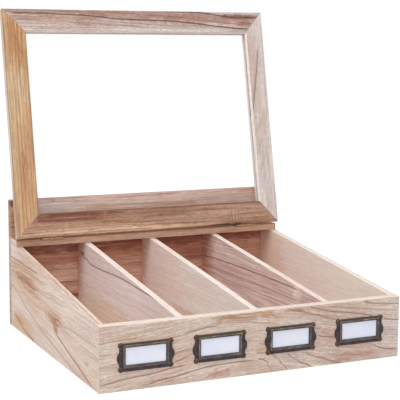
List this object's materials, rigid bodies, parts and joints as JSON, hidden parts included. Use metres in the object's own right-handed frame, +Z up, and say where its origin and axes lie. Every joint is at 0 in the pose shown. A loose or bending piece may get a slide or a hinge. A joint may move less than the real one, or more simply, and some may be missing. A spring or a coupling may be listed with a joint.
{
  "type": "tea bag organizer box",
  "caption": "Low wooden box with a sloping top, divided lengthwise for tea bags, with a glazed hinged lid that leans back on hinge stops and metal label holders on the front.",
  "frame": {"origin": "centre of the box's underside, on the surface it stands on", "axes": "+X to the right seen from the front, +Y towards the back, +Z up"},
  "size_m": [0.33, 0.3165, 0.3586],
  "materials": {
    "box_wood": "raw, lightly scorched, matte",
    "rail_wood": "raw, scorched, matte",
    "divider_wood": "raw, planed, matte",
    "lid_wood": "raw, scorched, matte",
    "lid_glass": "clear, polished",
    "hinge_brass": "dull",
    "label_metal": "antiqued dark bronze",
    "label_card": "blank white card"
  },
  "bodies": {
    "box": {"base_panel": "box_wood", "front_panel": "box_wood", "left_side": "box_wood", "right_side": "box_wood", "backboard": "box_wood", "hinge_rail": "rail_wood", "left_divider": "divider_wood", "middle_divider": "divider_wood", "right_divider": "divider_wood", "left_hinge_rail_leaf": "hinge_brass", "right_hinge_rail_leaf": "hinge_brass", "left_hinge_pin": "hinge_brass", "right_hinge_pin": "hinge_brass", "rail_leaf_screws": "hinge_brass", "label_holder_1": "label_metal", "label_holder_2": "label_metal", "label_holder_3": "label_metal", "label_holder_4": "label_metal", "label_card_1": "label_card", "label_card_2": "label_card", "label_card_3": "label_card", "label_card_4": "label_card", "label_pins": "label_metal"},
    "lid": {"lid_back_rail": "lid_wood", "lid_front_rail": "lid_wood", "lid_left_stile": "lid_wood", "lid_right_stile": "lid_wood", "lid_glass": "lid_glass", "left_hinge_lid_leaf": "hinge_brass", "right_hinge_lid_leaf": "hinge_brass", "lid_leaf_screws": "hinge_brass"}
  },
  "joints": [
    {"name": "lid_hinge", "type": "hinge", "parent": "box", "child": "lid", "pos_m": [0, 0.114, 0.1019], "axis": [1, 0, 0], "range_deg": [0, 108.5]}
  ]
}
